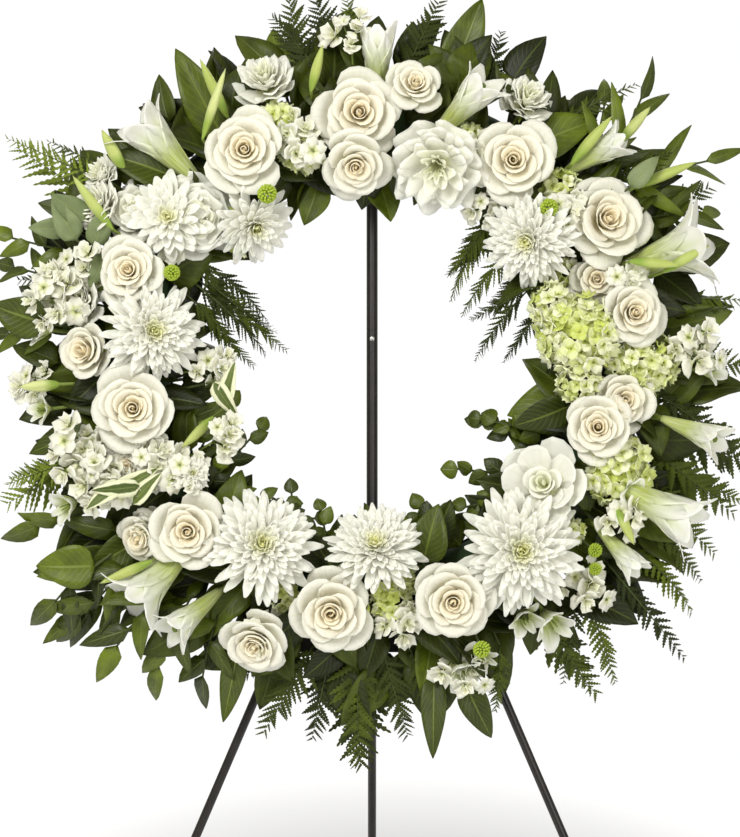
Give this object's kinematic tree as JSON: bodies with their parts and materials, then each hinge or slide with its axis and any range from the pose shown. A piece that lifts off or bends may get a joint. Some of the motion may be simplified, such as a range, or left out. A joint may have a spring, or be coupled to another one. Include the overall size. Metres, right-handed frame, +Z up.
{
  "type": "funeral wreath on tripod easel",
  "caption": "Round funeral wreath of white and cream flowers with dark greenery, hung on a slim black folding tripod easel.",
  "frame": {"origin": "on the floor, under the middle of the whole piece", "axes": "+Z up; the wreath faces -Y and the rear leg stands at +Y"},
  "size_m": [0.7656, 0.4368, 1.2723],
  "materials": {
    "easel_paint": "satin",
    "bright_steel": "satin",
    "rubber": "matte",
    "tray_plastic": "satin",
    "wet_foam": "matte",
    "cream_petal": "matte",
    "white_petal": "matte",
    "lime_petal": "matte",
    "lily_petal": "satin",
    "bud_green": "satin",
    "fern_leaf": "matte",
    "glossy_leaf": "gloss"
  },
  "bodies": {
    "mast_and_wreath": {"tray_ring": "tray_plastic", "foam_ring": "wet_foam", "hanging_loop": "bright_steel", "rose_upper_left": "cream_petal", "rose_top": "cream_petal", "rose_top_inner": "cream_petal", "rose_upper_right": "cream_petal", "rose_right_high": "cream_petal", "rose_right": "cream_petal", "rose_right_low": "cream_petal", "rose_bottom_right": "cream_petal", "rose_bottom_left": "cream_petal", "rose_bottom_outer": "cream_petal", "rose_lower_left": "cream_petal", "rose_left_low": "cream_petal", "rose_left_high": "cream_petal", "mum_left": "white_petal", "mum_lower_left": "white_petal", "mum_bottom": "white_petal", "mum_lower_right": "white_petal", "mum_right_inner": "white_petal", "mum_upper_left": "white_petal", "hydrangea_right_inner": "lime_petal", "hydrangea_right_outer": "lime_petal", "hydrangea_right_low": "lime_petal", "hydrangea_bottom": "lime_petal", "lily_upper_left": "lily_petal", "lily_top": "lily_petal", "lily_upper_right": "lily_petal", "lily_right": "lily_petal", "lily_lower_right": "lily_petal", "lily_lower_left": "lily_petal", "lisianthus_upper_right": "white_petal", "peony_lower_right": "white_petal", "fern_upper_left": "fern_leaf", "fern_left": "fern_leaf", "ruscus_lower_left": "glossy_leaf", "fern_bottom": "fern_leaf", "plumosus_lower_right": "fern_leaf", "fern_right": "fern_leaf", "fern_right_high": "fern_leaf", "salal_top_right": "glossy_leaf", "fern_top_left": "fern_leaf", "mast_lower_tube": "easel_paint", "mast_upper_tube": "easel_paint", "mast_joint_rivet": "bright_steel", "mast_cap": "rubber", "wreath_hook": "easel_paint", "hook_nut": "bright_steel", "yoke": "easel_paint", "mast_rivet": "bright_steel", "left_pivot_rivet": "bright_steel", "right_pivot_rivet": "bright_steel", "rear_hinge_pin": "bright_steel"},
    "left_front_leg": {"left_front_leg": "easel_paint", "left_front_foot": "rubber"},
    "right_front_leg": {"right_front_leg": "easel_paint", "right_front_foot": "rubber"},
    "rear_leg": {"rear_leg": "easel_paint", "rear_foot": "rubber"}
  },
  "joints": [
    {"name": "left_leg_fold", "type": "hinge", "parent": "mast_and_wreath", "child": "left_front_leg", "pos_m": [-0.09659, -0.08308, 0.61904], "axis": [0, -0.9903, 0.1392], "range_deg": [0, 23]},
    {"name": "right_leg_fold", "type": "hinge", "parent": "mast_and_wreath", "child": "right_front_leg", "pos_m": [0.10142, -0.08308, 0.61904], "axis": [0, 0.9903, -0.1392], "range_deg": [0, 23]},
    {"name": "rear_leg_fold", "type": "hinge", "parent": "mast_and_wreath", "child": "rear_leg", "pos_m": [-0.00558, -0.06509, 0.60843], "axis": [-1, 0, 0], "range_deg": [0, 32]}
  ]
}
